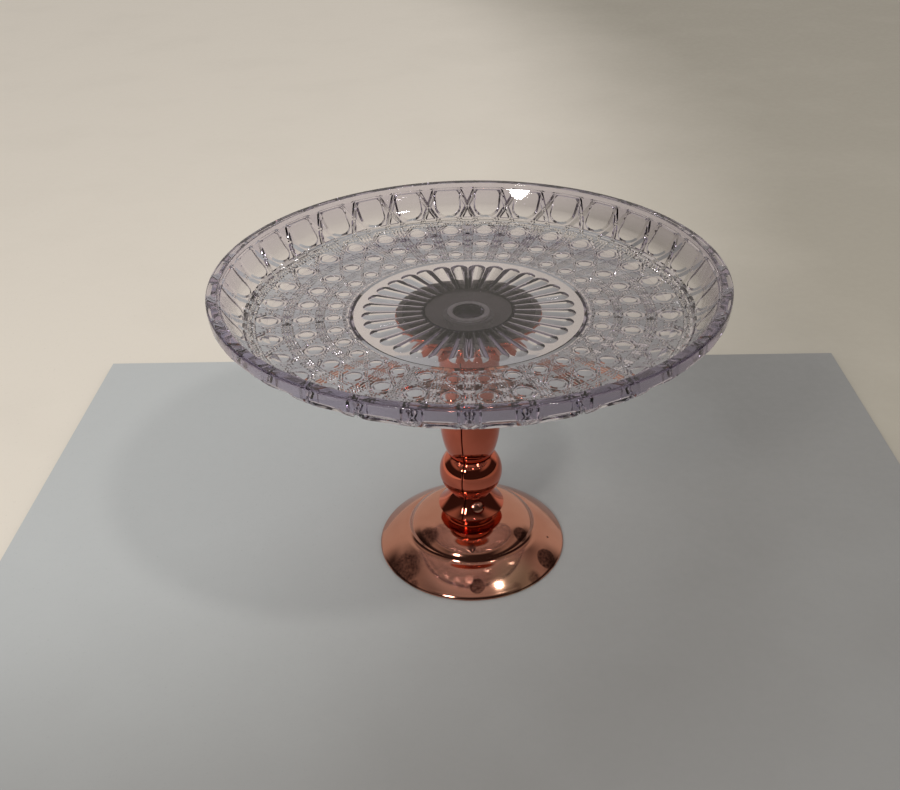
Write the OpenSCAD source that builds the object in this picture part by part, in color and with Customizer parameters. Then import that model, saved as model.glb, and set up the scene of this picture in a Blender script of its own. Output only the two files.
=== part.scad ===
// Pedestal cake stand: a clear pressed dish that screws onto a plated stem and a domed foot.
// Units are millimetres. +Z is up, and the origin is the centre of the foot, on the table.
// The pattern is pressed into the dish's underside, so its top stays smooth.

/* [Dish] */
// Diameter of the dish over its rim
dish_d = 300; // [280:1:320]
// Height of the rim's top above the table
rim_top = 199.6; // [195:0.1:205]
// Height of the dish's flat serving face above the table
floor_top = 175.8; // [175:0.1:177]
// Thickness of the dish's floor
floor_t = 4.5; // [4.2:0.1:4.6]
// Width of the flat band round the rim's top
rim_band = 6.5; // [5:0.5:8]
// Number of petals, and of buttons in a row
sectors = 32; // [24:2:32]

/* [Screw joint under the dish] */
// Radius of the round boss under the dish's centre
boss_r = 26; // [24:1:28]
// Depth of the boss below the serving face
boss_depth = 6; // [5.8:0.1:6.2]
// Outside radius of the threaded spigot
spigot_r = 9.2; // [8:0.1:9.4]
// Radial running clearance of the spigot in its socket
spigot_clearance = 0.08; // [0.02:0.01:0.1]
// Pitch of the coarse thread
thread_pitch = 3; // [2:0.5:3]
// Turns that the dish takes to come free
thread_turns = 2.5; // [1.5:0.5:2.5]

/* [Stem] */
// Wall of the two stem shells
stem_wall = 2.2; // [1.8:0.1:2.4]
// Direction of the front seam, measured from +X
seam_angle = -106.5; // [-110:0.5:-95]
// Gap between the two shells along the seam
seam_gap = 0.5; // [0.3:0.1:0.6]
// Widest radius of the round bead
bead_r = 20.4; // [20:0.1:21]
// Widest radius of the vase above the bead
vase_r = 19.2; // [18.8:0.1:19.6]
// Radius of the skirt's rim below the bead
skirt_r = 21.4; // [21:0.1:21.8]
// Radius of the cup that carries the dish
cup_r = 43.5; // [42:0.5:45]

/* [Foot] */
// Radius of the foot on the table
foot_r = 62; // [61:0.1:64]
// Thickness of the pressed foot
foot_t = 1.4; // [1.2:0.1:1.6]
// Radius of the foot's upper dome
upper_dome_r = 41; // [40:0.5:42]
// Height of the foot's flat top
foot_top = 24.6; // [24.4:0.1:24.8]

/* [Fasteners] */
// Nominal diameter of the tie bolt
bolt_d = 6; // [6:1:6]
// Length of the tie bolt under its head
bolt_length = 140; // [139:1:141]
// Nominal diameter of the lock screw
lock_d = 3; // [2.5:0.5:3]

/* [Hidden] */
$fn = 96;

eps = 0.01;
pitch_angle = 360 / sectors;

// Heights of the stack, from the dish down to the foot
dish_r = dish_d / 2;
floor_bottom = floor_top - floor_t;
boss_bottom = floor_top - boss_depth;
seal_t = 1.5;
socket_top = boss_bottom - seal_t;
spigot_length = seal_t + thread_pitch * thread_turns;
socket_floor = 153.5;
cup_floor_t = 3;
shell_top = 146;
socket_base = shell_top + cup_floor_t;
shell_base = 31.2;
hub_top = 41;
bolt_r = bolt_d / 2;
bolt_hole_r = bolt_r + 0.3;
bolt_end = socket_floor - bolt_length;

// Widths that several pieces share
gasket_in = cup_r - 4;
gasket_t = 1.2;
cup_wall = 1.8;
cup_foot_r = 18;        // the cup's foot is as wide as the stem's top
cup_spigot_r = 14.6;
cup_spigot_depth = 6;
hub_core_r = 10.5;
lap = 0.3;          // clearance between nested curved faces

// Points on a curve from a to c that is pulled towards b
function bend(a, b, c, n = 8) =
    [for (i = [0:n]) let (t = i / n) (1 - t) * (1 - t) * a + 2 * t * (1 - t) * b + t * t * c];
// Points on an ellipse between two angles
function oval(centre, a, b, from, to, n = 16) =
    [for (i = [0:n]) let (t = from + (to - from) * i / n) centre + [a * cos(t), b * sin(t)]];
// Unit normal on the left of a line of points, at point i
function left_normal(p, i) =
    let (d = p[min(i + 1, len(p) - 1)] - p[max(i - 1, 0)]) [-d[1], d[0]] / norm(d);
// The same line, moved to its left by t
function beside(p, t) = [for (i = [0:len(p) - 1]) p[i] + t * left_normal(p, i)];
function reverse(p) = [for (i = [len(p) - 1:-1:0]) p[i]];

module spin(points) rotate_extrude() polygon(points);
module ring(r_in, r_out, z, t) {
    spin([[r_in, z], [r_out, z], [r_out, z + t], [r_in, z + t]]);
}
module each_sector() {
    for (i = [0:sectors - 1]) rotate([0, 0, (i + 0.5) * pitch_angle]) children();
}

// ---- Dish ----

// Inner and outer faces of the dish, from the middle to the rim
wall_start = 0.77 * dish_r;
band_in = dish_r - rim_band;
inner_face = concat([[0, floor_top]],
    bend([wall_start, floor_top], [0.87 * dish_r, floor_top + 0.4], [0.915 * dish_r, floor_top + 11]),
    [[band_in - 1.5, rim_top - 1]],
    bend([band_in - 0.8, rim_top - 0.2], [band_in, rim_top], [band_in + 0.8, rim_top], 3));
outer_face = concat(
    bend([dish_r - 1.6, rim_top], [dish_r, rim_top], [dish_r, rim_top - 1.6], 4),
    [[dish_r, rim_top - 4]],
    bend([dish_r - 0.4, rim_top - 7.5], [dish_r - 6, rim_top - 15.5], [0.86 * dish_r, floor_bottom + 4.4], 6),
    [[0.79 * dish_r, floor_bottom]]);

module dish_blank() {
    spin(concat(inner_face, outer_face,
        [[boss_r + 1, floor_bottom], [boss_r, boss_bottom], [spigot_r, boss_bottom],
         [spigot_r, boss_bottom - spigot_length + 0.6], [spigot_r - 0.6, boss_bottom - spigot_length],
         [0, boss_bottom - spigot_length]]));
}
// One hollow petal: a cone that widens outwards and ends in a ball
module petal(r_in, r_out, half_in, half_out, depth) {
    lift = half_out - depth;
    translate([r_in, 0, floor_bottom - half_in + depth])
        rotate([0, 90 + atan((half_out - half_in) / (r_out - r_in)), 0])
            cylinder(r1 = half_in, r2 = half_out, h = norm([r_out - r_in, half_out - half_in]));
    translate([r_out, 0, floor_bottom - lift]) sphere(r = half_out + eps);
}
// One round button: a shallow ball-shaped hollow, w wide and d deep
module button(r, w, d) {
    ball = w * w / (8 * d) + d / 2;
    translate([r, 0, floor_bottom - ball + d]) sphere(r = ball);
}
// One tall window on the upturned wall
module wall_window() {
    window_ball = 32;
    window_depth = 1.4;
    window_lean = 141;      // from upright to square on the outside of the wall
    translate([0.944 * dish_r, 0, floor_bottom + 12.7])
        rotate([0, window_lean, 0]) translate([0, 0, window_ball - window_depth]) sphere(r = window_ball);
}
module cake_plate() {
    petal_in = boss_r + 4;
    petal_out = 57;
    petal_half_in = 1.6;
    petal_half_out = 5;
    petal_depth = 1.1;
    // Rows of buttons: how far out each is, how wide and how deep
    button_rows = [[0.53 * dish_r, 7, 0.9], [0.645 * dish_r, 9.4, 1.1], [0.755 * dish_r, 11.4, 1.3]];
    ring_groove_r = 0.47 * dish_r;
    ring_groove_half = 1.2;
    color([0.86, 0.84, 0.9, 0.4]) difference() {
        dish_blank();
        each_sector() {
            petal(petal_in, petal_out, petal_half_in, petal_half_out, petal_depth);
            for (row = button_rows) button(row[0], row[1], row[2]);
            wall_window();
        }
        rotate_extrude() translate([ring_groove_r, floor_bottom]) circle(r = ring_groove_half);
    }
}

// ---- Seat of the dish ----

// Silicone washer between the boss and the socket
module seal_washer() {
    color([0.86, 0.85, 0.82]) ring(spigot_r + 0.6, spigot_r + 3.4, socket_top, seal_t);
}
// Smoky vinyl ring on the cup's lip
module cup_gasket() {
    color([0.36, 0.33, 0.32]) ring(gasket_in, cup_r - 0.6, floor_bottom - gasket_t, gasket_t);
}
// Bowl-shaped cup, with a plug below it that centres the two stem shells
module support_cup() {
    lip = floor_bottom - gasket_t;
    flare = concat(bend([cup_foot_r, shell_top], [18.6, 151.5], [25, 154.6]),
                   bend([27.5, 155.8], [cup_r - 4.5, 160.4], [cup_r, lip - 1.6]));
    inner = [for (p = beside(flare, cup_wall)) if (p[1] > socket_base + 1 && p[0] < gasket_in - 0.5) p];
    spigot_end = shell_top - cup_spigot_depth;
    chamfer = 0.8;
    color([0.72, 0.36, 0.27]) difference() {
        spin(concat([[0, spigot_end], [cup_spigot_r - chamfer, spigot_end],
                     [cup_spigot_r, spigot_end + chamfer], [cup_spigot_r, shell_top]],
                    flare, [[cup_r, lip], [gasket_in, lip]], reverse(inner),
                    [[16.6, socket_base], [0, socket_base]]));
        translate([0, 0, shell_top - 10]) cylinder(r = bolt_hole_r, h = 20);
    }
}
// Blind socket for the dish's spigot, held down by the head of the tie bolt
module threaded_socket() {
    bore = spigot_r + spigot_clearance;
    body_r = 12.6;
    base_r = 15.6;
    collar_r = 15;
    color([0.25, 0.23, 0.23]) difference() {
        spin([[0, socket_base], [base_r, socket_base], [base_r, socket_base + 3],
              [body_r, socket_base + 4.5], [body_r, socket_top - 2.5], [collar_r, socket_top - 1.5],
              [collar_r, socket_top], [0, socket_top]]);
        translate([0, 0, socket_floor]) cylinder(r = bore, h = 30);
        translate([0, 0, socket_base - 5]) cylinder(r = bolt_hole_r, h = 20);
    }
}

// ---- Stem ----

bead_centre = [bead_r - 13, 58];
vase_base = [14, 71.2];
stem_face = concat(
    bend([skirt_r, shell_base + 0.8], [16.9, 36.2], [13.2, 42.5]),
    oval(bead_centre, 13, 15.2, -61, 56),
    bend(vase_base, [vase_r, 82], [vase_r, 98], 7),
    bend([vase_r, 99], [vase_r, 126], [cup_foot_r, shell_top], 7));
stem_inside = concat([[hub_core_r + lap, shell_base], [hub_core_r + lap, shell_base + 2]],
    [for (p = beside(stem_face, stem_wall)) if (p[1] > shell_base + 2.1 && p[1] < shell_top) p],
    [[cup_foot_r - stem_wall, shell_top]]);

// A thin layer within the stem's wall, from depth a to depth b behind its outer face
module wall_layer(a, b, z_from, z_to) {
    line = [for (p = beside(stem_face, stem_wall)) if (p[1] > z_from && p[1] < z_to) p];
    spin(concat([for (p = line) p + [stem_wall - b, 0]], reverse([for (p = line) p + [stem_wall - a, 0]])));
}
module stem_tube() {
    spin(concat([[skirt_r - 0.4, shell_base], [skirt_r, shell_base + 0.4]], stem_face, reverse(stem_inside)));
}
// Keeps one side of the seam, set back from it by gap
module seam_side(side, gap) {
    intersection() {
        children();
        rotate([0, 0, seam_angle]) translate([-40, side > 0 ? gap : -40 - gap, 0]) cube([80, 40, 200]);
    }
}
// The tongue that runs up inside the seam, reaching half_w to each side of it
module seam_tongue(half_w, a, b, z_from, z_to) {
    intersection() {
        wall_layer(a, b, z_from, z_to);
        rotate([0, 0, seam_angle]) translate([-40, -half_w, 0]) cube([80, 2 * half_w, 200]);
    }
}
// Puts its children at the lock screw, with +Z out of the skirt
lock_angle = -74.5;
lock_tilt = 36;
module at_lock() {
    rotate([0, 0, lock_angle]) translate([16, 0, 38.2]) rotate([0, 90 - lock_tilt, 0]) children();
}
lock_recess_r = 4.3;
lock_recess = 1.1;
module stem_shell_left() {
    color([0.72, 0.3, 0.22]) union() {
        seam_side(-1, seam_gap / 2) stem_tube();
        seam_tongue(1.2, 0.8, 1.7, shell_base + 14, shell_top - 4);
    }
}
module stem_shell_right() {
    color([0.72, 0.3, 0.22]) difference() {
        seam_side(1, seam_gap / 2) stem_tube();
        seam_tongue(1.5, 0.7, 1.8, shell_base + 12, shell_top - 2);
        at_lock() translate([0, 0, -lock_recess]) cylinder(r = lock_recess_r, h = 8);
        at_lock() translate([0, 0, -9]) cylinder(r = lock_d / 2 + 0.15, h = 12);
    }
}
// Pan-headed screw that pins the skirt to the hub
module lock_screw() {
    head_r = 3.5;
    head_t = 0.7;
    dome = 8;
    color([0.5, 0.28, 0.22]) at_lock() difference() {
        union() {
            translate([0, 0, -lock_recess]) intersection() {
                cylinder(r = head_r, h = 3);
                translate([0, 0, head_t + 0.8 - dome]) sphere(r = dome);
            }
            translate([0, 0, -lock_recess - 8.6]) cylinder(r = lock_d / 2, h = 8.6 + eps);
        }
        for (a = [45, 135]) rotate([0, 0, a]) translate([-1.9, -0.4, -lock_recess + 0.6]) cube([3.8, 0.8, 3]);
    }
}
// Plug that stands on the foot, carries the shells and centres them
module foot_hub() {
    color([0.6, 0.27, 0.2]) difference() {
        spin(concat([[0, foot_top], [14.4, foot_top]],
                    bend([14.4, 26.4], [14.6, 29.4], [18, shell_base - 0.6]),
                    [[18, shell_base], [hub_core_r, shell_base], [hub_core_r, hub_top], [0, hub_top]]));
        translate([0, 0, foot_top - 5]) cylinder(r = bolt_hole_r, h = 30);
        at_lock() translate([0, 0, -lock_recess - 9.2]) cylinder(r = lock_d / 2 + 0.05, h = 12);
    }
}

// ---- Foot ----

foot_face = concat(
    [[foot_r - 0.5, 0]],
    bend([foot_r, 0.5], [foot_r - 0.2, 1.5], [foot_r - 1.5, 2.5], 4),
    bend([foot_r - 2, 2.9], [foot_r - 9.3, 9], [upper_dome_r + 4.6, 12.2]),
    bend([upper_dome_r + 3.2, 12.7], [upper_dome_r + 0.6, 13.2], [upper_dome_r - 0.4, 15.8], 4),
    bend([upper_dome_r - 0.7, 16.5], [upper_dome_r - 5, 22.8], [22, 24.4]),
    [[17, foot_top]]);

// Hollow pressed foot with two domed steps and a turned-in flat rim
module foot_shell() {
    rim_in = foot_r - 5;
    under_top = foot_top - foot_t;
    flat_r = 16;        // the underside is flat to here, for the clamp washer
    inside = [for (p = beside(foot_face, foot_t))
        if (p[0] < rim_in - 0.4 && p[0] > flat_r + 1 && p[1] < under_top) p];
    color([0.78, 0.48, 0.38]) difference() {
        spin(concat(foot_face, [[0, foot_top], [0, under_top], [flat_r, under_top]], reverse(inside),
                    [[rim_in, inside[0][1]], [rim_in, foot_t], [rim_in, 0]]));
        translate([0, 0, foot_top - 5]) cylinder(r = bolt_hole_r, h = 10);
    }
}

// ---- Tie bolt and its washers ----

washer_t = 2;
spring_t = 1.6;
nut_t = 5;
washer_bottom = foot_top - foot_t - washer_t;
spring_bottom = washer_bottom - spring_t;
nut_bottom = spring_bottom - nut_t;

// Socket-head bolt from the threaded socket down to the foot
module tie_bolt() {
    head_r = 5;
    head_t = 4;
    color([0.55, 0.55, 0.56]) difference() {
        union() {
            translate([0, 0, bolt_end]) cylinder(r = bolt_r, h = bolt_length + eps);
            translate([0, 0, socket_floor]) cylinder(r = head_r, h = head_t);
        }
        translate([0, 0, socket_floor + head_t - 2.5]) cylinder(r = 2.9, h = 3, $fn = 6);
    }
}
module clamp_washer() {
    color([0.6, 0.6, 0.6]) ring(bolt_hole_r, 14, washer_bottom, washer_t);
}
// Split ring that keeps the nut tight
module spring_washer() {
    color([0.45, 0.45, 0.46]) difference() {
        ring(bolt_hole_r, 5.6, spring_bottom, spring_t);
        translate([2, -0.4, spring_bottom - 1]) cube([5, 0.8, spring_t + 2]);
    }
}
module foot_nut() {
    color([0.6, 0.6, 0.6]) difference() {
        translate([0, 0, nut_bottom]) cylinder(r = 5.77, h = nut_t, $fn = 6);
        translate([0, 0, nut_bottom - 1]) cylinder(r = bolt_r + 0.02, h = nut_t + 2);
    }
}

cake_plate();
seal_washer();
cup_gasket();
support_cup();
threaded_socket();
tie_bolt();
stem_shell_left();
stem_shell_right();
lock_screw();
foot_hub();
foot_shell();
clamp_washer();
spring_washer();
foot_nut();
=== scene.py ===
# %% [markdown]
# # A pedestal cake stand
#
# The real object is a clear pressed dish that screws onto a copper-plated stem and a domed foot.
# The CAD model gives every size and place. This script gives the looks: a cut-glass relief in real
# geometry, smooth turned metal, and materials with the wear and grain that such things have.
# Each step comes with a few words on what the piece is, how it could be made, and why this way.

# %% Load the fixed frame
import math

import bmesh
import bpy
import numpy as np
from mathutils import Matrix, Vector, geometry


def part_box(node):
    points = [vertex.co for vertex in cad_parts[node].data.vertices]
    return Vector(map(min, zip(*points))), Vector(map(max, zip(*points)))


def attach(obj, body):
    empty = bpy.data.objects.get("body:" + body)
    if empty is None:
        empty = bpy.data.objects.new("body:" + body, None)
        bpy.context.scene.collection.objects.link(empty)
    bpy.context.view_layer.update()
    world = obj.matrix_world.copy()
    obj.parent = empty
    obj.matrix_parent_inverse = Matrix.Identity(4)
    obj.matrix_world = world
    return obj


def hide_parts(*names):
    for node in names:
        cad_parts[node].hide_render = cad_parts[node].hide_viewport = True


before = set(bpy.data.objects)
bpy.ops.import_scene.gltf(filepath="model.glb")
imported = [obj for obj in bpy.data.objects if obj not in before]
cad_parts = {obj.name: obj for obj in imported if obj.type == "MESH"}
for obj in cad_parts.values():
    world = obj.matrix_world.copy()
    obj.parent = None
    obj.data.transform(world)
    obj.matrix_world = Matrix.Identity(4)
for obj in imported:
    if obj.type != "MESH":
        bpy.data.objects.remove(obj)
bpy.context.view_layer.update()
MM = 0.001

# %% [markdown]
# ## The camera
#
# The stand is looked down on from half a metre in front of it and a quarter of a metre above its rim,
# with a standard lens. The camera is given as a place, a direction and a small roll, because a
# hand-held camera is never quite level, and a level one would tilt the dish's oval the wrong way.

# %% Place the camera
def look_from(place, pitch, yaw, roll, lens):
    """A camera that looks down by pitch, turned by yaw and rolled by roll, in degrees."""
    pitch, yaw, roll = (math.radians(a) for a in (pitch, yaw, roll))
    ahead = Vector((math.sin(yaw) * math.cos(pitch), math.cos(yaw) * math.cos(pitch), -math.sin(pitch)))
    right = Vector((math.cos(yaw), -math.sin(yaw), 0))
    up = right.cross(ahead)
    across = math.cos(roll) * right + math.sin(roll) * up
    upright = math.cos(roll) * up - math.sin(roll) * right
    camera = bpy.data.objects.new("camera", bpy.data.cameras.new("camera"))
    bpy.context.scene.collection.objects.link(camera)
    turn = Matrix((across, upright, -ahead)).transposed()
    camera.matrix_world = Matrix.Translation(place) @ turn.to_4x4()
    camera.data.lens = lens
    camera.data.sensor_width = 36
    camera.data.clip_start = 0.01
    return camera


EYE = (0.001, -0.544, 0.4535)
bpy.context.scene.camera = look_from(EYE, pitch=31.9, yaw=-1.4, roll=-1.55, lens=41.1)
print("camera at", [round(c, 3) for c in bpy.context.scene.camera.location])

# %% [markdown]
# ## Outlines that turn into metal and glass
#
# Every piece here was spun, turned or moulded round one axis, so its shape is an outline swept round.
# An outline is a short list of points in millimetres, as (radius, height), with the round stretches
# given by curves. A modifier could do the turning, but a function of our own lets an outline have two
# faces, an open seam or a thread, and it makes no stray faces.

# %% Curves for outlines
def bend(start, pull, stop, steps=20):
    """Points on a curve from start to stop that is pulled towards pull."""
    t = np.linspace(0, 1, steps + 1)[:, None]
    start, pull, stop = (np.array(p, float) for p in (start, pull, stop))
    return (1 - t) ** 2 * start + 2 * t * (1 - t) * pull + t ** 2 * stop


def oval(centre, across, up, first, last, steps=48):
    """Points on an ellipse, from one angle to another, in degrees."""
    t = np.radians(np.linspace(first, last, steps + 1))[:, None]
    return np.array(centre, float) + np.hstack([across * np.cos(t), up * np.sin(t)])


def join(*parts):
    """One line of points from several, without repeated points."""
    line = np.vstack([np.atleast_2d(np.array(p, float)) for p in parts])
    keep = [0]
    for i in range(1, len(line)):
        if np.hypot(*(line[i] - line[keep[-1]])) > 0.02:
            keep.append(i)
    return line[keep]


def normals_of(line):
    """Unit normals on the left of a line of points."""
    run = np.gradient(line, axis=0)
    run /= np.linalg.norm(run, axis=1)[:, None]
    return np.stack([-run[:, 1], run[:, 0]], axis=1)


def beside(line, gap):
    """The same line, moved to its left by gap."""
    return line + gap * normals_of(line)


# %% Meshes from points
def piece_from(name, points, faces, crease=32):
    """A smooth-shaded object from points in millimetres. Edges sharper than crease stay sharp."""
    mesh = bpy.data.meshes.new(name)
    mesh.from_pydata([tuple(p) for p in np.array(points) * MM], [], faces)
    work = bmesh.new()
    work.from_mesh(mesh)
    bmesh.ops.remove_doubles(work, verts=work.verts, dist=0.004 * MM)
    bmesh.ops.dissolve_degenerate(work, edges=work.edges, dist=0.001 * MM)
    bmesh.ops.recalc_face_normals(work, faces=work.faces)
    open_edges = sum(1 for e in work.edges if len(e.link_faces) != 2)
    work.to_mesh(mesh)
    work.free()
    mesh.shade_smooth()
    mesh.set_sharp_from_angle(angle=math.radians(crease))
    obj = bpy.data.objects.new(name, mesh)
    bpy.context.scene.collection.objects.link(obj)
    print(f"{name}: {len(mesh.polygons)} faces, {open_edges} open edges")
    return obj


def turned(name, loop, segments=256, crease=32):
    """A closed outline turned right round the axis."""
    loop = np.array(loop, float)
    angle = 2 * np.pi * np.arange(segments) / segments
    rings = np.stack([np.outer(np.cos(angle), loop[:, 0]), np.outer(np.sin(angle), loop[:, 0]),
                      np.tile(loop[:, 1], (segments, 1))], axis=2)
    count = len(loop)
    faces = []
    for i in range(segments):
        for j in range(count):
            a, b = i * count, (i + 1) % segments * count
            faces.append((a + j, b + j, b + (j + 1) % count, a + (j + 1) % count))
    return piece_from(name, rings.reshape(-1, 3), faces, crease)


# %% [markdown]
# ## Sizes from the CAD model
#
# The heights and radii that pieces share are read from the CAD nodes' boxes, so a change in the CAD
# model moves the looks with it. The small sizes inside one piece are named where that piece is made.

# %% Read the main sizes
def radius_of(node):
    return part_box(node)[1].x / MM


def bottom_of(node):
    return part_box(node)[0].z / MM


def top_of(node):
    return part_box(node)[1].z / MM


foot_r, foot_top = radius_of("foot_shell"), top_of("foot_shell")
hub_top = top_of("foot_hub")
shell_base, shell_top = bottom_of("stem_shell_left"), top_of("stem_shell_left")
cup_r, cup_lip = radius_of("support_cup"), top_of("support_cup")
dish_r, rim_top = radius_of("cake_plate"), top_of("cake_plate")
spigot_end = bottom_of("cake_plate")
bolt_hole_r = 3.3
AIR_GAP = 0.06
FLOOR_UP = 4.5
floor_bottom = top_of("cup_gasket") + AIR_GAP
floor_top = top_of("cup_gasket") + FLOOR_UP
boss_bottom = top_of("seal_washer") + AIR_GAP
print(f"dish {2 * dish_r:.1f} wide, rim at {rim_top:.1f}, foot {2 * foot_r:.1f} wide")

# %% [markdown]
# ## The foot
#
# The foot is one sheet of metal, spun into two domed steps with a turned-in rim that it stands on.
# Light on a mirror finish shows the smallest corner in an outline, so the curves have many points and
# the inside is the outside moved inwards by the sheet's thickness.

# %% Spin the foot
def make_foot():
    sheet = 1.4
    upper_r = 41
    crown_r = 22
    outside = join(
        bend((foot_r - 0.5, 0), (foot_r, 0), (foot_r, 0.5), 5),
        bend((foot_r, 0.6), (foot_r - 0.2, 1.5), (foot_r - 1.5, 2.5), 8),
        bend((foot_r - 2, 2.9), (foot_r - 9.3, 9), (upper_r + 4.6, 12.2), 40),
        bend((upper_r + 3.2, 12.7), (upper_r + 0.6, 13.2), (upper_r - 0.4, 15.8), 16),
        bend((upper_r - 0.7, 16.5), (upper_r - 5, 22.8), (crown_r, 24.4), 36),
        bend((17, foot_top), (16, foot_top), (15, foot_top), 2),
        [(bolt_hole_r, foot_top)])
    under = beside(outside, sheet)
    rim_in = foot_r - 5
    keep = (under[:, 0] < rim_in - 0.5) & (under[:, 1] > sheet)
    inside = under[keep][::-1]
    turned_in = bend((rim_in + 0.2, inside[-1][1] - 1.0), (rim_in, sheet), (rim_in, 0.3), 6)
    return turned("plated_foot", join(outside, inside, turned_in, [(rim_in + 0.4, 0)]), 320)


foot = make_foot()

# %% [markdown]
# ## The hub under the stem
#
# A turned plug stands on the foot. Its flared collar carries the stem's skirt, and its core keeps the
# two stem shells in line. Only the collar shows, as a red line where copper faces copper.

# %% Turn the hub
def make_hub():
    core_r, neck_r, collar_r = 10.5, 14.4, 18
    loop = join([(bolt_hole_r, foot_top)],
                bend((neck_r - 0.5, foot_top), (neck_r, foot_top), (neck_r, foot_top + 0.5), 4),
                bend((neck_r, foot_top + 1.8), (neck_r + 0.2, foot_top + 4.8),
                     (collar_r, shell_base - 0.6), 16),
                [(collar_r, shell_base), (core_r, shell_base)],
                bend((core_r, hub_top - 0.6), (core_r, hub_top), (core_r - 0.6, hub_top), 4),
                [(bolt_hole_r, hub_top)])
    return turned("plated_hub", loop, 192)


hub = make_hub()

# %% [markdown]
# ## The stem's two shells
#
# The stem is two moulded half shells, plated and closed round the tie bolt, so a thin seam runs up the
# front and the back. The seam is the real thing here: each shell stops a quarter of a millimetre short
# of the joint, and its outer corner is rounded, which is what draws the fine dark line.

# %% Shape one half of the stem
SEAM_ANGLE = math.radians(-106.5)
SEAM_GAP = 0.5
SEAM_ROUND = 0.7
STEM_WALL = 2.2
SKIRT_R = 21.4
VASE_R = 19.2
MOUTH_R = 18
CORE_R = 10.9


def stem_outline():
    """The stem's outer face: the skirt, the bead, and the vase up to its mouth."""
    return join(
        bend((SKIRT_R - 0.2, shell_base), (SKIRT_R, shell_base), (SKIRT_R, shell_base + 0.4), 3),
        bend((SKIRT_R, shell_base + 0.8), (16.9, 36.2), (13.2, 42.5), 30),
        oval((7.4, 58), 13, 15.2, -61, 56, 72),
        bend((14, 71.2), (VASE_R, 82), (VASE_R, 98), 36),
        bend((VASE_R, 99), (VASE_R, 126), (MOUTH_R, shell_top), 24))


def half_shell(name, side):
    """One shell: the outline and its inner face, swept half round, with closed and rounded seam edges."""
    outer = stem_outline()
    inner = beside(outer, STEM_WALL)
    inner = inner[(inner[:, 1] > shell_base + 2.1) & (inner[:, 1] < shell_top)]
    neck = [(MOUTH_R - STEM_WALL, shell_top), (CORE_R, shell_base + 2), (CORE_R, shell_base)]
    loop = np.vstack([outer, neck[:1], inner[::-1], neck[1:]])
    is_outer = np.arange(len(loop)) < len(outer)
    corner, arc_steps = 5, 97
    last = 2 * corner + arc_steps
    setback = SEAM_ROUND * (1 - np.cos(np.linspace(0, np.pi / 2, corner + 1)))
    rings = []
    for step in range(last + 1):
        k = min(step, last - step)
        back = setback[min(k, corner)]
        edge = np.arcsin((SEAM_GAP / 2 + back) / loop[:, 0])
        if k > corner:
            share = (step - corner) / arc_steps
            angle = edge + share * (np.pi - 2 * edge)
        else:
            angle = edge if step == k else np.pi - edge
        drop = SEAM_ROUND - math.sqrt(SEAM_ROUND ** 2 - (SEAM_ROUND - back) ** 2)
        radius = loop[:, 0] - drop * is_outer
        angle = side * angle + SEAM_ANGLE
        rings.append(np.stack([radius * np.cos(angle), radius * np.sin(angle), loop[:, 1]], axis=1))
    count = len(loop)
    faces = []
    for i in range(len(rings) - 1):
        for j in range(count):
            a, b = i * count, (i + 1) * count
            faces.append((a + j, b + j, b + (j + 1) % count, a + (j + 1) % count))
    faces.append(tuple(range(count)))
    faces.append(tuple(range((len(rings) - 1) * count, len(rings) * count)))
    return piece_from(name, np.vstack(rings), faces)


stem_left = half_shell("plated_stem_left", -1)
stem_right = half_shell("plated_stem_right", 1)

# %% [markdown]
# A lock screw sits in a small dished recess in the right shell's skirt. The recess is cut with a
# boolean, because it crosses the skirt's curve at a slant and no outline could describe it.

# %% Cut the recess for the lock screw
LOCK_SIDE, LOCK_TILT = math.radians(-74.5), math.radians(54)
LOCK_OUT, LOCK_HEIGHT = 16, 38.2
LOCK = (Matrix.Rotation(LOCK_SIDE, 4, "Z") @ Matrix.Translation((LOCK_OUT * MM, 0, LOCK_HEIGHT * MM))
        @ Matrix.Rotation(LOCK_TILT, 4, "Y"))


def cut(obj, cutter):
    """Takes cutter's shape out of obj and removes the cutter."""
    tool = obj.modifiers.new("cut", "BOOLEAN")
    tool.operation = "DIFFERENCE"
    tool.solver = "EXACT"
    tool.object = cutter
    bpy.context.view_layer.update()
    shape = bpy.data.meshes.new_from_object(obj.evaluated_get(bpy.context.evaluated_depsgraph_get()))
    obj.modifiers.clear()
    obj.data = shape
    bpy.data.objects.remove(cutter)
    shape.shade_smooth()
    shape.set_sharp_from_angle(angle=math.radians(32))


bowl = turned("bowl", join([(0, -1.1), (3.55, -1.1)], bend((3.7, -1.1), (4.2, -1.05), (4.35, -0.2), 8),
                           bend((4.4, 0), (4.6, 0.9), (5.4, 1.6), 8), [(5.4, 8), (0, 8)]), 64)
bowl.data.transform(LOCK)
cut(stem_right, bowl)
hole = turned("hole", [(0, -8), (1.65, -8), (1.65, 0), (0, 0)], 32)
hole.data.transform(LOCK)
cut(stem_right, hole)
print("recess cut:", len(stem_right.data.polygons), "faces")
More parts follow.
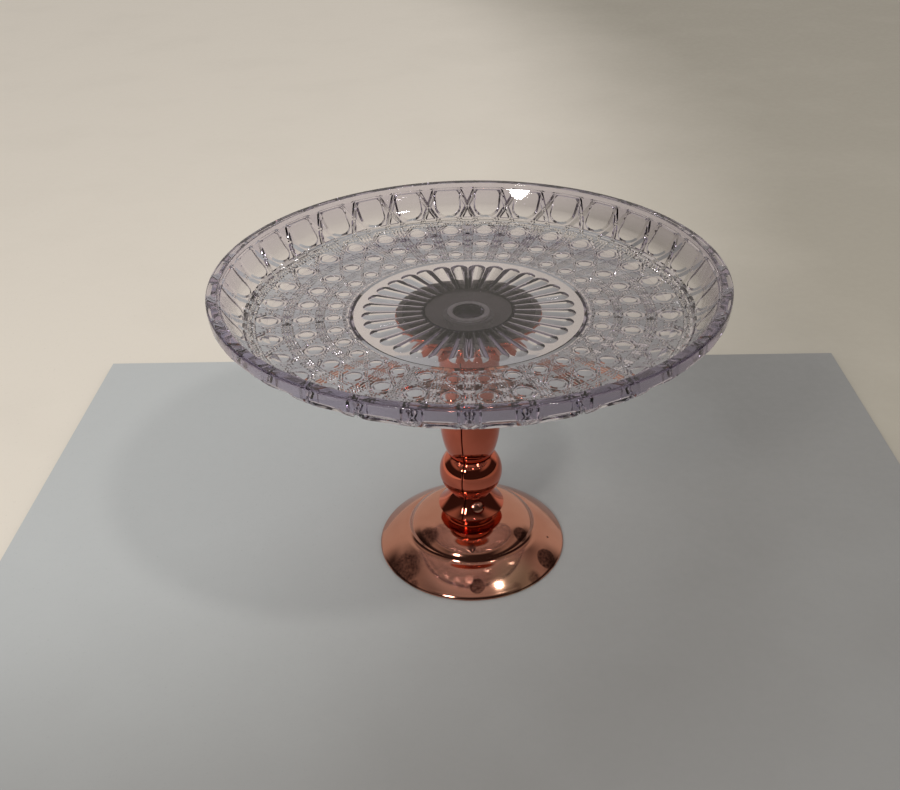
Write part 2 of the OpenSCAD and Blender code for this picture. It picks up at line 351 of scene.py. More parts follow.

# %% [markdown]
# ## The cup under the dish
#
# The stem ends in a bowl-shaped cup. Its lip carries the dish through a soft vinyl ring, and it is
# dark inside, which is the shadow that the clear petals show. Plating only reaches the outside of a
# moulding, so the inside gets a second, unplated finish, chosen face by face, painted near black as
# painted shade for that shadow.

# %% Turn the cup
def make_cup():
    wall = 1.8
    lip_in = cup_r - 4
    floor = bottom_of("threaded_socket")
    flare = join(bend((MOUTH_R, shell_top), (MOUTH_R + 0.6, 151.5), (25, 154.6), 24),
                 bend((27.5, 155.8), (cup_r - 4.5, 160.4), (cup_r, cup_lip - 1.6), 24),
                 bend((cup_r, cup_lip - 0.7), (cup_r, cup_lip), (cup_r - 0.7, cup_lip), 4))
    inner = beside(flare, wall)
    inner = inner[(inner[:, 1] > floor + 1) & (inner[:, 0] < lip_in - 0.5)][::-1]
    plug_r, plug_bottom = 14.6, shell_top - 6
    plug = [(bolt_hole_r, plug_bottom), (plug_r - 0.8, plug_bottom), (plug_r, plug_bottom + 0.8),
            (plug_r, shell_top)]
    seat = [(16.6, floor), (bolt_hole_r, floor)]
    return turned("plated_cup", join(plug, flare, [(lip_in, cup_lip)], inner, seat), 320)


cup = make_cup()

# %% [markdown]
# ## The dish: one slice of the pattern
#
# The underside is pressed with a cane pattern: pairs of fine grooves run outwards, round and along both
# diagonals, and leave an eight-sided field with a clear round button in it. A row further out is the
# same row, only larger. That is what a logarithm does: with the turn as one coordinate and the
# logarithm of the distance as the other, all rows are the same square cell and all grooves are straight
# lines. So one slice is drawn flat, with every crease as a line, split into triangles along those lines,
# given its depth, and then wrapped onto the dish and repeated.

# %% Sizes of the pattern
SECTORS = 32
PITCH = 2 * math.pi / SECTORS
FIRST_ROW = 72.2
ROWS = 4
# A groove's depth, as a share of its distance from the axis
GROOVE_DEPTH = 0.0105
# The sloped edge of a window or button, as a share of the cell
PANE_EDGE = 0.042
SLANT = math.sqrt(0.5)


def level(distance):
    """The row number, with its share, at a distance along the underside."""
    return np.log(np.asarray(distance, float) / FIRST_ROW) / PITCH


def distance_at(row):
    return FIRST_ROW * np.exp(PITCH * np.asarray(row, float))


# Grooves of one cell, as unit normal, offset from the cell's centre, and half width
upright_lines = [((1, 0), s * c, 0.05) for s in (-1, 1) for c in (0.35, 0.45)]
level_lines = [((0, 1), s * c, 0.0433) for s in (-1, 1) for c in (0.37, 0.4567)]
slanted_lines = [((t * SLANT, SLANT), s * c * SLANT, 0.05 * SLANT)
                 for t in (-1, 1) for s in (-1, 1) for c in (0.45, 0.55)]


# On the pillars between the windows the diagonals run steeper and cross once
PILLAR_SLOPE = 2.1
PILLAR_CROSS = 0.03
PILLAR_HALF = 0.032
pillar_lines = []
for side in (-0.5, 0.5):
    for lean in (-1, 1):
        tilt = math.hypot(PILLAR_SLOPE, 1)
        normal = (PILLAR_SLOPE / tilt, -lean / tilt)
        middle = side * normal[0] + PILLAR_CROSS * normal[1]
        pillar_lines += [(normal, middle + c * PILLAR_HALF, PILLAR_HALF) for c in (-1, 1)]


def grooves_in(row):
    """The outer row has tall windows, with only the crossing diagonals on the pillars between them."""
    if row == ROWS - 1:
        return level_lines[:2] + pillar_lines
    return upright_lines + level_lines + slanted_lines


print("rows end at, mm:", [round(float(distance_at(row)), 1) for row in range(ROWS + 1)])
print("grooves in a cell of each row:", [len(grooves_in(row)) for row in range(ROWS)])


# %% Windows, buttons and petals as nested outlines
BUTTON_R = (0.26, 0.265, 0.27)
# A button's depth in millimetres, 100 mm from the axis
BUTTON_DEPTH = 1.1
BOWL_EDGE = 0.12
BOWL_SHARE = 0.25
WINDOW_R = 0.335
WINDOW_TOP = 0.45
WINDOW_CORNER = 0.12
WINDOW_DEPTH = 1.9
PETAL_IN, PETAL_OUT, PETAL_END = 28.0, 58.0, 5.5
PETAL_HALF = 0.485
PETAL_DEPTH = 2.4
PETAL_CURVE = 1.5
RING_AT, RING_HALF, RING_DEPTH = 69.7, 1.5, 1.5
# Where the wall curves, the slice is also cut across, closer together towards the rim
FLOOR_END = 118.5
WALL_CUTS = (FLOOR_END, 124.3, 130.0, 133.5, 137, 140.5, 144, 147.5, 151, 154, 156.5, 158.4, 160)
BOSS_R = 27


def window_outline(radius, top):
    """A U shape round the cell's centre: straight sides and a round bottom, closed along the top."""
    arc = oval((0, 0), radius, radius, 180, 360, 20)
    right = bend((radius, top - WINDOW_CORNER), (radius, top), (radius - WINDOW_CORNER, top), 4)
    left = right[::-1] * (-1, 1)
    return np.vstack([arc, right, left, arc[:1]])


def petal_outline(share):
    """One petal's outline, shrunk towards its middle line, as (turn, distance)."""
    along = np.linspace(PETAL_IN, PETAL_OUT, 9)
    side = np.stack([np.full(9, share * PETAL_HALF), along], axis=1)
    a = np.linspace(0, np.pi / 2, 8)[1:]
    reach = share * PETAL_END
    end_s = PETAL_OUT + reach * np.sin(a)
    end_u = share * PETAL_HALF * PETAL_OUT * np.cos(a) / end_s
    half = np.vstack([side, np.stack([end_u, end_s], axis=1)])
    return np.vstack([half, half[::-1][1:] * (-1, 1)])


print("outline points:", len(window_outline(WINDOW_R, WINDOW_TOP)), "and", len(petal_outline(1)))


# %% The depth of the relief
def depth_at(u, row):
    """Depth of the relief below the outer face, in millimetres, at a turn u from the slice's middle."""
    s = float(distance_at(row))
    if s < PETAL_OUT + PETAL_END + 0.01:
        if s < PETAL_IN - 0.01:
            return 0.0
        if s <= PETAL_OUT:
            share = abs(u) / PETAL_HALF
        else:
            share = math.hypot(u * s / (PETAL_HALF * PETAL_OUT), (s - PETAL_OUT) / PETAL_END)
        return max(0.0, PETAL_DEPTH * s / PETAL_OUT * (1 - share ** PETAL_CURVE))
    if row < 0:
        return RING_DEPTH * max(0.0, 1 - abs(s - RING_AT) / RING_HALF)
    k = min(int(row), ROWS - 1)
    v = row - k - 0.5
    if k == ROWS - 1:
        if v < WINDOW_TOP - WINDOW_CORNER:
            inner = WINDOW_R - math.hypot(u, min(v, 0))
        else:
            inner = min(WINDOW_R - abs(u), WINDOW_TOP - v)
        if inner > -1e-6:
            return WINDOW_DEPTH * min(1.0, max(0.0, inner) / PANE_EDGE)
    else:
        inner = BUTTON_R[k] - math.hypot(u, v)
        if inner > -1e-6:
            bowl_share = BOWL_SHARE * (1 - (math.hypot(u, v) / BUTTON_R[k]) ** 2)
            return BUTTON_DEPTH * s / 100 * (min(1.0, max(0.0, inner) / PANE_EDGE) + bowl_share)
    if v > WINDOW_TOP + 0.01 and k == ROWS - 1:
        return 0.0
    deep = 0.0
    for (nu, nv), offset, half in grooves_in(k):
        gap = abs(nu * u + nv * v - offset)
        deep = max(deep, GROOVE_DEPTH * s * (1 - gap / half))
    return deep


print("depth in the middle of each row, mm:", [round(depth_at(0, row + 0.5), 2) for row in range(ROWS)])


# %% Draw the slice flat and split it along its creases
def clip_to_cell(normal, offset):
    """The ends of a straight line inside the unit cell, or None."""
    run = np.array([-normal[1], normal[0]])
    base = np.array(normal) * offset
    low, high = -9.0, 9.0
    for axis in (0, 1):
        if abs(run[axis]) < 1e-9:
            if abs(base[axis]) > 0.5:
                return None
            continue
        ends = sorted(((-0.5 - base[axis]) / run[axis], (0.5 - base[axis]) / run[axis]))
        low, high = max(low, ends[0]), min(high, ends[1])
    if high - low < 1e-4:
        return None
    return np.array([base + low * run, base + high * run])


def slice_lines(row_in, row_out):
    """Every crease and edge of one slice, as lines of (turn, row)."""
    border = np.linspace(-0.5, 0.5, 7)

    def cut_across(row):
        return np.stack([border, np.full(7, row)], axis=1)

    lines = [cut_across(row_in), cut_across(row_out)]
    lines += [np.array([(u, row_in), (u, row_out)]) for u in (-0.5, 0.5)]
    for k in range(ROWS):
        middle = np.array([0, k + 0.5])
        for normal, offset, half in grooves_in(k):
            for step in (-half, 0, half):
                ends = clip_to_cell(normal, offset + step)
                if ends is None:
                    continue
                pieces = 7 if normal[0] == 0 else 1
                lines.append(np.linspace(ends[0], ends[1], pieces + 1) + middle)
        if k == ROWS - 1:
            outlines = [window_outline(WINDOW_R - i, WINDOW_TOP - i) for i in (0, PANE_EDGE)]
        else:
            radii = (BUTTON_R[k], BUTTON_R[k] - PANE_EDGE, BUTTON_R[k] - BOWL_EDGE)
            outlines = [oval((0, 0), r, r, 0, 360, 24) for r in radii]
        lines += [outline + middle for outline in outlines]
    for s in (RING_AT - RING_HALF, RING_AT, RING_AT + RING_HALF, FIRST_ROW, 66, PETAL_IN) + WALL_CUTS:
        lines.append(cut_across(level(s)))
    for v in (WINDOW_TOP, WINDOW_TOP + 0.02):
        lines.append(cut_across(ROWS - 0.5 + v))
    for share in (1, 0.8, 0.6, 0.4, 0.2):
        outline = petal_outline(share)
        lines.append(np.stack([outline[:, 0], level(outline[:, 1])], axis=1))
    return lines


def split_slice(row_in, row_out):
    """The slice's corner points and triangles."""
    points, edges = [], []
    for line in slice_lines(row_in, row_out):
        first = len(points)
        points += [Vector((float(u), float(v))) for u, v in line]
        edges += [(i, i + 1) for i in range(first, len(points) - 1)]
    flat, _, faces, *_ = geometry.delaunay_2d_cdt(points, edges, [], 0, 1e-5)
    return np.array([(p.x, p.y) for p in flat]), [tuple(f) for f in faces]


# %% Wrap the slice onto the underside
wall_face = join([(0, floor_bottom), (FLOOR_END, floor_bottom)],
                 bend((129, floor_bottom + 4.4), (144, 184.1), (dish_r - 0.4, 192.1), 40),
                 [(dish_r, 195.6), (dish_r, rim_top - 1.6)])
wall_steps = np.concatenate([[0], np.cumsum(np.hypot(*np.diff(wall_face, axis=0).T))])


def under_face(s):
    """Radius, height and outward normal of the plain outer face at a distance s from the axis."""
    along = np.array([s - 0.6, s + 0.6])
    spot = [np.interp(s, wall_steps, wall_face[:, i]) for i in (0, 1)]
    run = np.array([np.interp(along, wall_steps, wall_face[:, i]) for i in (0, 1)])
    run = (run[:, 1] - run[:, 0]) / np.linalg.norm(run[:, 1] - run[:, 0])
    return spot[0], spot[1], (run[1], -run[0])


def wrapped_slices():
    """All slices as points and triangles, in millimetres."""
    reach = wall_steps[-1]
    flat, faces = split_slice(float(level(BOSS_R)), float(level(reach)))
    ring = []
    for u, row in flat:
        s = float(distance_at(row))
        r, z, out = under_face(min(s, reach))
        deep = 0 if s > reach - 0.2 else depth_at(u, min(row, level(reach)))
        ring.append((u, r - deep * out[0], z - deep * out[1]))
    ring = np.array(ring)
    print(f"one slice: {len(ring)} points, {len(faces)} triangles")
    points, all_faces = [], []
    for k in range(SECTORS):
        angle = (ring[:, 0] + k + 0.5) * PITCH
        points.append(np.stack([ring[:, 1] * np.cos(angle), ring[:, 1] * np.sin(angle), ring[:, 2]],
                               axis=1))
        all_faces += [tuple(i + k * len(ring) for i in f) for f in faces]
    return np.vstack(points), all_faces


# %% [markdown]
# ## The dish: its smooth top and its threaded spigot
#
# The rest of the dish is plain turned surface: the rounded rim, the smooth serving face, the boss and
# the spigot. The spigot's coarse thread is a turned surface too, whose radius rises and falls with the
# height and the turn together. All of it has six points to a slice, so that it meets the relief's edge.

# %% Turn the plain parts and close the dish
AROUND = 6 * SECTORS


def open_surface(line, twist=None):
    """Points and faces of a line turned right round. twist(angle, radius, height) may change the radius."""
    angle = 2 * np.pi * np.arange(AROUND) / AROUND
    a, r = np.meshgrid(angle, line[:, 0], indexing="ij")
    z = np.tile(line[:, 1], (AROUND, 1))
    if twist is not None:
        r = twist(a, r, z)
    points = np.stack([r * np.cos(a), r * np.sin(a), z], axis=2).reshape(-1, 3)
    n = len(line)
    faces = [(i * n + j, (i + 1) % AROUND * n + j, (i + 1) % AROUND * n + j + 1, i * n + j + 1)
             for i in range(AROUND) for j in range(n - 1)]
    return points, faces


def make_dish():
    spigot_r, pitch, thread_depth = 9.2, 3.0, 0.8
    ledge_in, ledge_z = dish_r - 6.4, rim_top - 3.1
    top = join([(dish_r, rim_top - 1.6)],
               bend((dish_r, rim_top - 1.5), (dish_r, rim_top), (dish_r - 1.6, rim_top), 8),
               bend((ledge_in + 1, rim_top), (ledge_in + 0.1, rim_top), (ledge_in, rim_top - 0.9), 8),
               bend((ledge_in - 0.2, ledge_z + 0.9), (ledge_in - 0.3, ledge_z + 0.1),
                    (ledge_in - 1.6, ledge_z), 6),
               bend((137.25, 186.8), (130.5, 176.2), (115.5, floor_top), 20),
               [(90, floor_top), (60, floor_top), (30, floor_top), (8, floor_top), (0, floor_top)])
    heights = np.arange(boss_bottom - 0.9, spigot_end + 0.5, -0.3)
    below = join(bend((BOSS_R, floor_bottom), (BOSS_R - 0.3, boss_bottom), (BOSS_R - 2, boss_bottom), 10),
                 [(18, boss_bottom), (spigot_r, boss_bottom)],
                 np.stack([np.full(len(heights), spigot_r), heights], axis=1),
                 [(spigot_r - 0.9, spigot_end), (4, spigot_end), (0, spigot_end)])

    def thread(angle, r, z):
        """The radius falls between the crests, and the groove between them runs out at both ends."""
        phase = (z / pitch - angle / (2 * np.pi)) % 1
        crest = np.clip(2.2 - 7 * np.abs(phase - 0.5), 0, 1)
        fade = np.clip((boss_bottom - 0.8 - z) / 1.0, 0, 1) * np.clip((z - spigot_end - 0.4) / 1.0, 0, 1)
        on = np.abs(r - spigot_r) < 1e-6
        return np.where(on, r - thread_depth * (1 - crest) * fade, r)

    parts = [wrapped_slices(), open_surface(top), open_surface(below, thread)]
    points, faces, count = [], [], 0
    for more, sides in parts:
        points.append(more)
        faces += [tuple(i + count for i in f) for f in sides]
        count += len(more)
    return piece_from("pressed_dish", np.vstack(points), faces, 15)


dish = make_dish()
print("dish triangles:", sum(len(p.vertices) - 2 for p in dish.data.polygons))

# %% [markdown]
# ## Materials made of nodes
#
# A finish is built from a few small habits: a colour that wanders a little, a gloss that is broken by
# handling, and a fine bump. The helpers below add those nodes, so that each material reads as a recipe.

# %% Node helpers
class Recipe:
    """A material and its nodes. Positions come from the object's own coordinates, in metres."""

    def __init__(self, name):
        self.material = bpy.data.materials.new(name)
        self.material.use_nodes = True
        self.tree = self.material.node_tree
        self.shader = self.tree.nodes["Principled BSDF"]
        self.place = self.tree.nodes.new("ShaderNodeTexCoord").outputs["Object"]

    def link(self, a, b):
        self.tree.links.new(a, b)

    def node(self, kind, **settings):
        made = self.tree.nodes.new("ShaderNode" + kind)
        for key, value in settings.items():
            setattr(made, key, value)
        return made

    def set(self, **values):
        """Constants on the shader's own sockets."""
        for key, value in values.items():
            self.shader.inputs[key.replace("_", " ")].default_value = value
        return self

    def stretched(self, x, y, z):
        scale = self.node("Mapping")
        scale.inputs["Scale"].default_value = (x, y, z)
        self.link(self.place, scale.inputs["Vector"])
        return scale.outputs["Vector"]

    def noise(self, size_mm, detail=3, rough=0.55, where=None, distortion=0):
        """Noise whose blotches are about size_mm across, from 0 to 1."""
        made = self.node("TexNoise")
        made.inputs["Scale"].default_value = 1000 / size_mm
        made.inputs["Detail"].default_value = detail
        made.inputs["Roughness"].default_value = rough
        made.inputs["Distortion"].default_value = distortion
        self.link(where or self.place, made.inputs["Vector"])
        return made.outputs["Fac"]

    def range(self, value, low, high, to_low=0, to_high=1, smooth=False):
        """Maps low..high to to_low..to_high and stops at the ends."""
        made = self.node("MapRange", interpolation_type="SMOOTHSTEP" if smooth else "LINEAR")
        for key, number in zip(("From Min", "From Max", "To Min", "To Max"), (low, high, to_low, to_high)):
            made.inputs[key].default_value = number
        self.link(value, made.inputs["Value"])
        return made.outputs["Result"]

    def math(self, operation, a, b):
        made = self.node("Math", operation=operation)
        for socket, value in zip(made.inputs, (a, b)):
            if isinstance(value, (int, float)):
                socket.default_value = value
            else:
                self.link(value, socket)
        return made.outputs["Value"]

    def mix(self, amount, a, b):
        """A colour between a and b. Each is a colour or a socket."""
        made = self.node("Mix", data_type="RGBA")
        self.link(amount, made.inputs["Factor"])
        for key, value in (("A", a), ("B", b)):
            socket = [s for s in made.inputs if s.name == key and s.type == "RGBA"][0]
            if isinstance(value, tuple):
                socket.default_value = (*value, 1)
            else:
                self.link(value, socket)
        return [s for s in made.outputs if s.type == "RGBA"][0]

    def near(self, centre_mm, radius_mm, soft_mm):
        """1 within radius_mm of a point, fading to 0 over soft_mm."""
        apart = self.node("VectorMath", operation="DISTANCE")
        self.link(self.place, apart.inputs[0])
        apart.inputs[1].default_value = [c * MM for c in centre_mm]
        return self.range(apart.outputs["Value"], (radius_mm + soft_mm) * MM, radius_mm * MM, smooth=True)

    def height(self, value, strength, deep_mm):
        """A bump of deep_mm, added under any bump that is there."""
        made = self.node("Bump")
        made.inputs["Strength"].default_value = strength
        made.inputs["Distance"].default_value = deep_mm * MM
        self.link(value, made.inputs["Height"])
        before = self.shader.inputs["Normal"]
        if before.is_linked:
            self.link(before.links[0].from_socket, made.inputs["Normal"])
        self.link(made.outputs["Normal"], before)

    def colour(self, socket):
        self.link(socket, self.shader.inputs["Base Color"])

    def rough(self, socket):
        self.link(socket, self.shader.inputs["Roughness"])


# %% Dress a piece
def dress(obj, recipe, body, slot, *nodes, inside=None):
    """Gives obj its material, its body, and the CAD nodes that it stands for. The slot argument is not used.
    """
    obj.data.materials.clear()
    obj.data.materials.append(recipe.material)
    if inside is not None:
        obj.data.materials.append(inside.material)
    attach(obj, body)
    if nodes:
        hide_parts(*nodes)


def second_finish(obj, chosen):
    """Gives the faces that chosen(face) picks the object's second material."""
    for face in obj.data.polygons:
        face.material_index = 1 if chosen(face) else 0


# %% [markdown]
# ## Clear pressed plastic
#
# The dish is clear with a faint lavender cast that only shows where the light travels far through it,
# as in the rim. That is absorption in the volume, not a colour on the surface, so thin parts stay
# clear. The surface has the slight waviness of a moulding and the fine scratches that use leaves.

# %% Clear lavender plastic
def clear_plastic():
    made = Recipe("clear_lavender_plastic")
    made.set(IOR=1.49, Transmission_Weight=1.0, Metallic=0.0)
    cast = made.range(made.noise(60, 2), 0.35, 0.65)
    made.colour(made.mix(cast, (0.985, 0.973, 0.972), (0.96, 0.95, 0.948)))
    scuffs = made.noise(5, 6, 0.7, made.stretched(1, 6, 1))
    made.rough(made.range(scuffs, 0.45, 0.8, 0.015, 0.07))
    made.height(made.noise(9, 1), 0.25, 0.1)
    scratches = made.noise(1.2, 4, 0.7, made.stretched(1, 7, 1))
    made.height(made.range(scratches, 0.62, 0.72), 0.12, 0.02)
    depth = made.node("VolumeAbsorption")
    depth.inputs["Color"].default_value = (0.62, 0.56, 0.70, 1)
    depth.inputs["Density"].default_value = 80
    made.link(depth.outputs["Volume"], made.tree.nodes["Material Output"].inputs["Volume"])
    return made


plastic = clear_plastic()
dress(dish, plastic, "dish", "dish", "cake_plate")
print(plastic.material.name, "has", len(plastic.tree.nodes), "nodes")

# %% [markdown]
# ## Copper plating
#
# The foot is pale rose copper with a mirror finish. It is mottled, with a tan patch on the lower dome,
# and brown speckled patches: on the domes they are painted reflections of the dark room, and near the
# rim there are small brown spots. The stem is the same plating over moulded plastic, redder and
# smoother. One recipe makes both, and the patches are added where they lie.

# %% Rose and red copper
def plated(name, pale, deep, gloss, grain_mm):
    """Polished plating: wandering tone, broken gloss, and the slight ripple of a thin coat."""
    made = Recipe(name)
    made.set(Metallic=1.0)
    made.tone = made.mix(made.range(made.noise(28, 3), 0.3, 0.7), pale, deep)
    smear = made.noise(6, 5, 0.65, made.stretched(1, 1, 3))
    made.gloss = made.range(smear, 0.35, 0.75, gloss, gloss + 0.045)
    made.height(made.noise(14, 1), 0.12, 0.25)
    made.height(made.noise(grain_mm, 3, 0.6), 0.05, 0.03)
    made.colour(made.tone)
    made.rough(made.gloss)
    return made


def painted_reflections_and_spots(made, patches, brown):
    """Brown speckled patches, each (centre, radius, fade, strength), on top of the plating: painted
    reflections of the dark room, and small brown spots.
    """
    cover = 0.0
    for centre, radius, fade, strength in patches:
        spot = made.math("MULTIPLY", made.near(centre, radius, fade), strength)
        cover = made.math("MAXIMUM", spot, cover)
    ragged = made.math("MULTIPLY", made.noise(4, 4, 0.65), 0.6)
    # Where the speckled brown patches lie: painted reflections on the domes, small brown spots near the rim.
    reflection_and_spot_mask = made.range(made.math("ADD", cover, ragged), 0.66, 1.3, smooth=True)
    speck = made.range(made.noise(1.3, 3, 0.75), 0.4, 0.6, 0.6, 1)
    on = made.math("MULTIPLY", reflection_and_spot_mask, speck)
    made.tone = made.mix(on, made.tone, brown)
    made.gloss = made.math("ADD", made.gloss, made.math("MULTIPLY", on, 0.14))
    made.colour(made.tone)
    made.rough(made.gloss)
    return made


# Brown patches on the foot: the first six, on the two domes, are painted reflections of the dark room; the
# rest are small brown spots near the rim.
reflection_and_spot_patches = [((-43, -36, 5), 6.5, 12, 0.95), ((-28, -22, 19), 4, 8, 0.95), ((49, -29, 6), 5, 4, 1.5),
                ((32, -20, 19), 3, 4, 1.5), ((3, -55, 6), 3.2, 3.5, 1.3), ((0, -35, 20), 1.4, 3, 1.2),
                ((40, -44, 3), 2, 7, 0.85), ((28, -53, 2), 1.5, 6, 0.8), ((-38, -48, 1), 1.5, 7, 0.8),
                ((50, -11, 8), 0.9, 1, 1.2)]
rose = plated("rose_copper_plate", (0.64, 0.31, 0.225), (0.56, 0.25, 0.175), 0.08, 0.8)
# A tan patch on the front of the lower dome.
tan_patch = rose.range(rose.near((26, -48, 4), 6, 16), 0, 1, 0, 0.5)
rose.tone = rose.mix(tan_patch, rose.tone, (0.50, 0.36, 0.22))
rose = painted_reflections_and_spots(rose, reflection_and_spot_patches, (0.07, 0.022, 0.017))
red = plated("red_copper_plate", (0.69, 0.185, 0.115), (0.61, 0.15, 0.09), 0.02, 1.2)
dress(foot, rose, "pedestal", "foot_plate", "foot_shell")
# The cup's inside: unplated moulding, painted near black as painted shade for the shadow in the cup.
shaded_bare_inside = Recipe("bare_moulding_painted_dark")
shaded_bare_inside.set(Metallic=0.0, IOR=1.5)
blotch = shaded_bare_inside.range(shaded_bare_inside.noise(7, 4), 0.3, 0.7)
shaded_bare_inside.colour(shaded_bare_inside.mix(blotch, (0.022, 0.015, 0.014), (0.042, 0.029, 0.026)))
shaded_bare_inside.rough(shaded_bare_inside.range(shaded_bare_inside.noise(2, 4, 0.7), 0.3, 0.7, 0.35, 0.5))
shaded_bare_inside.height(shaded_bare_inside.noise(0.5, 3), 0.2, 0.03)
dress(cup, red, "pedestal", "cup_plate", "support_cup", inside=shaded_bare_inside)
lip_edge = (cup_r - 1.2) * MM
second_finish(cup, lambda face: face.normal.z > 0.05 and math.hypot(*face.center[:2]) < lip_edge)
dress(stem_left, red, "pedestal", "stem_plate", "stem_shell_left")
dress(stem_right, red, "pedestal", "stem_plate", "stem_shell_right")
dress(hub, red, "pedestal", "stem_plate", "foot_hub")
print("plated:", [obj.name for obj in (foot, hub, stem_left, stem_right, cup)], "reflections_and_spots:", len(reflection_and_spot_patches))

# %% [markdown]
# ## The working parts inside
#
# These carry the load out of sight: a black moulded socket that the dish screws into, soft washers, and
# plain zinc-plated fasteners. Their CAD shapes are right as they are, and so is that of the copper lock
# screw in the skirt, so they only get a finish.

# %% Finishes for rubber, plastic and zinc
def soft_rubber(name, pale, deep, through):
    made = Recipe(name)
    made.set(IOR=1.42, Transmission_Weight=through, Metallic=0.0)
    made.colour(made.mix(made.range(made.noise(3, 4), 0.3, 0.7), pale, deep))
    made.rough(made.range(made.noise(0.7, 4, 0.7), 0.3, 0.7, 0.32, 0.5))
    made.height(made.noise(0.35, 3, 0.7), 0.25, 0.02)
    return made


def black_moulding():
    made = Recipe("black_moulded_plastic")
    made.set(Metallic=0.0, IOR=1.5)
    blotch = made.range(made.noise(4, 4), 0.3, 0.7)
    made.colour(made.mix(blotch, (0.022, 0.02, 0.022), (0.04, 0.036, 0.038)))
    made.rough(made.range(made.noise(1.2, 4, 0.7), 0.3, 0.7, 0.32, 0.5))
    made.height(made.noise(0.3, 3, 0.7), 0.3, 0.02)
    return made


def zinc(name, pale, deep, gloss):
    made = Recipe(name)
    made.set(Metallic=1.0)
    made.colour(made.mix(made.range(made.noise(2.5, 5, 0.7), 0.3, 0.7), pale, deep))
    made.rough(made.range(made.noise(1.0, 4, 0.7), 0.3, 0.7, gloss, gloss + 0.18))
    made.height(made.noise(0.3, 3, 0.7, made.stretched(1, 1, 0.3)), 0.3, 0.02)
    return made


screw_plate = plated("screw_copper", (0.62, 0.30, 0.22), (0.45, 0.21, 0.16), 0.16, 0.5)
silicone = soft_rubber("milky_silicone", (0.46, 0.45, 0.43), (0.38, 0.37, 0.36), 0.15)
vinyl = soft_rubber("smoky_vinyl", (0.16, 0.14, 0.13), (0.10, 0.088, 0.083), 0.2)
spring_steel = zinc("dark_spring_steel", (0.30, 0.30, 0.31), (0.20, 0.20, 0.21), 0.3)
inner_finishes = {
    "seal_washer": (silicone, "silicone"),
    "cup_gasket": (vinyl, "vinyl"),
    "threaded_socket": (black_moulding(), "socket_black"),
    "tie_bolt": (zinc("zinc_bolt", (0.62, 0.62, 0.63), (0.50, 0.50, 0.52), 0.22), "zinc"),
    "clamp_washer": (zinc("zinc_washer", (0.60, 0.61, 0.62), (0.47, 0.48, 0.50), 0.26), "zinc"),
    "foot_nut": (zinc("zinc_nut", (0.60, 0.60, 0.61), (0.48, 0.48, 0.50), 0.24), "zinc"),
    "spring_washer": (spring_steel, "spring_steel"),
    "lock_screw": (screw_plate, "screw_copper"),
}
for node, (recipe, slot) in inner_finishes.items():
    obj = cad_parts[node]
    obj.data.materials.clear()
    obj.data.materials.append(recipe.material)
print("finished in place:", sorted(inner_finishes))

# %% [markdown]
# ## Table, room and lamps
#
# Clear plastic and mirror copper have hardly any look of their own: they show what is round them. So
# the stage is plain, a pale grey board on a cream floor, and the room is a soft sky of light. Matt
# surfaces are lit by it evenly. Gloss and clear plastic see a pale wall behind the stand, a pale ceiling,
# and a dark near side that is paler to the left and right, which is what gives polished metal its deep
# bands. The camera sees plain cream. The stage has painted light and shade: it is painted paler towards the
# window side, on the left, and darker elsewhere.

# %% The pale floor and the grey board on it
def flat_stage(name, low, high, z, recipe):
    corners = [(low[0], low[1], z), (high[0], low[1], z), (high[0], high[1], z), (low[0], high[1], z)]
    mesh = bpy.data.meshes.new(name)
    mesh.from_pydata(corners, [], [(0, 1, 2, 3)])
    obj = bpy.data.objects.new(name, mesh)
    bpy.context.scene.collection.objects.link(obj)
    obj.data.materials.append(recipe.material)
    return obj


def matt_paper(name, pale, deep, painted_light_pool, grain_mm):
    """Matt paint with a painted pool of light, given as (centre, radius, fade) in mm: palest there, and
    painted darker elsewhere as painted shade.
    """
    made = Recipe(name)
    made.set(Metallic=0.0)
    # A painted pool of light that fades into painted shade, with a little random wander.
    centre, radius, fade = painted_light_pool
    wander = made.math("MULTIPLY", made.math("SUBTRACT", made.noise(160, 3), 0.5), 0.25)
    paleness = made.math("ADD", made.near(centre, radius, fade), wander)
    shade = made.mix(made.range(paleness, 0, 1), deep, pale)
    flecks = made.range(made.noise(grain_mm, 3, 0.7), 0.62, 0.8, 0, 0.35)
    made.colour(made.mix(flecks, shade, tuple(c * 0.9 for c in deep)))
    made.rough(made.range(made.noise(8, 3), 0.3, 0.7, 0.6, 0.75))
    made.height(made.noise(grain_mm, 3), 0.2, 0.1)
    return made


# Painted light and shade on the stage: the cream floor is palest towards the left and darker to the right,
# and the board is palest near its back left corner.
painted_window_light = ((-3000, 900, 0), 2980, 470)
painted_board_light = ((-280, 200, 0), 200, 330)
cream = matt_paper("cream_paper", (0.68, 0.625, 0.545), (0.345, 0.315, 0.26), painted_window_light, 3)
grey = matt_paper("grey_board_paint", (0.44, 0.455, 0.455), (0.215, 0.212, 0.205), painted_board_light, 1.6)
flat_stage("cream_floor", (-6, -6), (6, 6), -0.003, cream)
flat_stage("grey_board", (-0.318, -1.1), (0.318, 0.246), -0.0004, grey)
print("stage: a board 0.636 m wide on a floor 12 m wide")


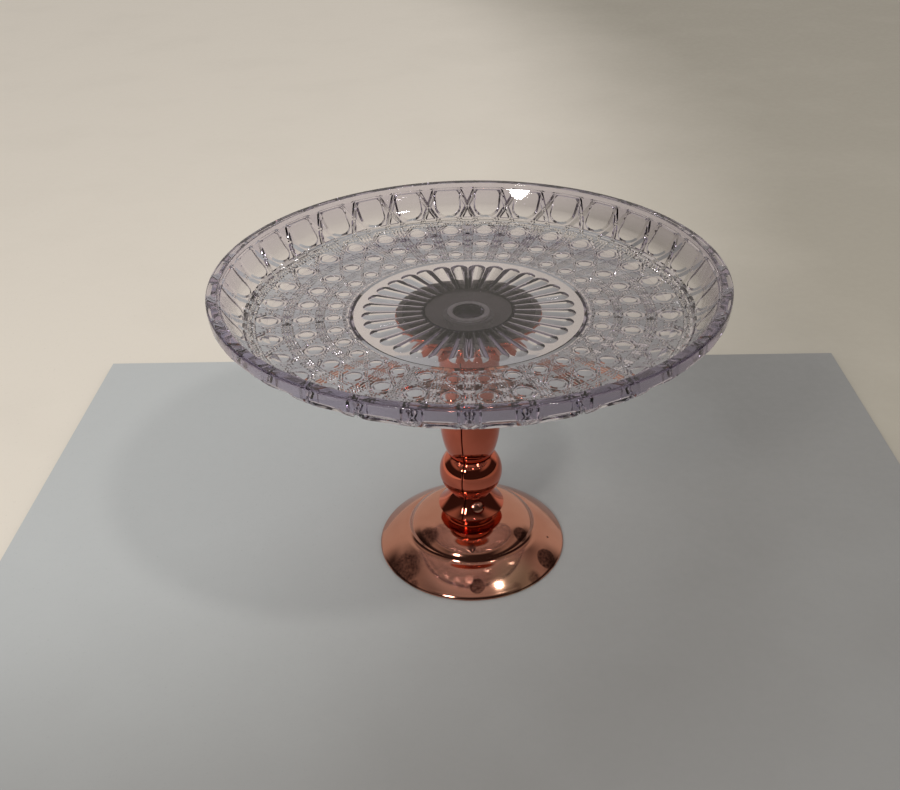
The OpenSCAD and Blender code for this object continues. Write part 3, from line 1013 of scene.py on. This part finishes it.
# %% The room's light
def make_room():
    world = bpy.data.worlds.new("soft_room")
    bpy.context.scene.world = world
    world.use_nodes = True
    tree = world.node_tree
    back = tree.nodes["Background"]
    link = tree.links.new
    ray = tree.nodes.new("ShaderNodeLightPath")
    toward = tree.nodes.new("ShaderNodeTexCoord").outputs["Generated"]
    split = tree.nodes.new("ShaderNodeSeparateXYZ")
    link(toward, split.inputs[0])

    def blend_colour(amount, a, b):
        made = tree.nodes.new("ShaderNodeMix")
        made.data_type = "RGBA"
        link(amount, made.inputs[0])
        for index, value in ((6, a), (7, b)):
            if isinstance(value, tuple):
                made.inputs[index].default_value = (*value, 1)
            else:
                link(value, made.inputs[index])
        return made.outputs[2]

    def ramp(value, low, high):
        made = tree.nodes.new("ShaderNodeMapRange")
        made.interpolation_type = "SMOOTHSTEP"
        made.inputs["From Min"].default_value = low
        made.inputs["From Max"].default_value = high
        link(value, made.inputs["Value"])
        return made.outputs["Result"]

    across = tree.nodes.new("ShaderNodeMath")
    across.operation = "ABSOLUTE"
    link(split.outputs["X"], across.inputs[0])
    dark, pale_flank, ceiling = (0.035, 0.026, 0.024), (0.32, 0.285, 0.255), (0.43, 0.40, 0.375)
    back_wall, even_sky, plain_cream = (0.52, 0.48, 0.425), (0.82, 0.81, 0.80), (0.50, 0.46, 0.40)
    flank = blend_colour(ramp(across.outputs["Value"], 0.45, 0.8), dark, pale_flank)
    lower = blend_colour(ramp(split.outputs["Z"], 0.42, 0.56), dark, flank)
    near_side = blend_colour(ramp(split.outputs["Z"], 0.68, 0.9), lower, ceiling)
    room = blend_colour(ramp(split.outputs["Y"], 0.35, 0.6), near_side, back_wall)
    even = blend_colour(ray.outputs["Is Diffuse Ray"], room, even_sky)
    seen = blend_colour(ray.outputs["Is Camera Ray"], even, plain_cream)
    link(seen, back.inputs["Color"])
    back.inputs["Strength"].default_value = 1.0


def lamp(name, side, rise, far, size, power, tint):
    """A round soft lamp aimed at the stand, side degrees round from the camera's side of the table."""
    side, rise = math.radians(side), math.radians(rise)
    away = Vector((math.sin(side) * math.cos(rise), -math.cos(side) * math.cos(rise), math.sin(rise)))
    light = bpy.data.lights.new(name, "AREA")
    light.shape = "DISK"
    light.size = size
    light.energy = power
    light.color = tint
    obj = bpy.data.objects.new(name, light)
    obj.location = Vector((0, 0, 0.08)) + away * far
    obj.rotation_mode = "QUATERNION"
    obj.rotation_quaternion = away.to_track_quat("Z", "Y")
    bpy.context.scene.collection.objects.link(obj)


make_room()
lamp("lamp_right", 45, 57, 1.7, 0.15, 5.0, (1.0, 0.97, 0.93))
lamp("lamp_left", -29, 36, 1.7, 0.26, 8.0, (1.0, 0.96, 0.91))
bpy.context.scene.view_settings.view_transform = "Standard"
print("lamps:", [light.name for light in bpy.data.lights])
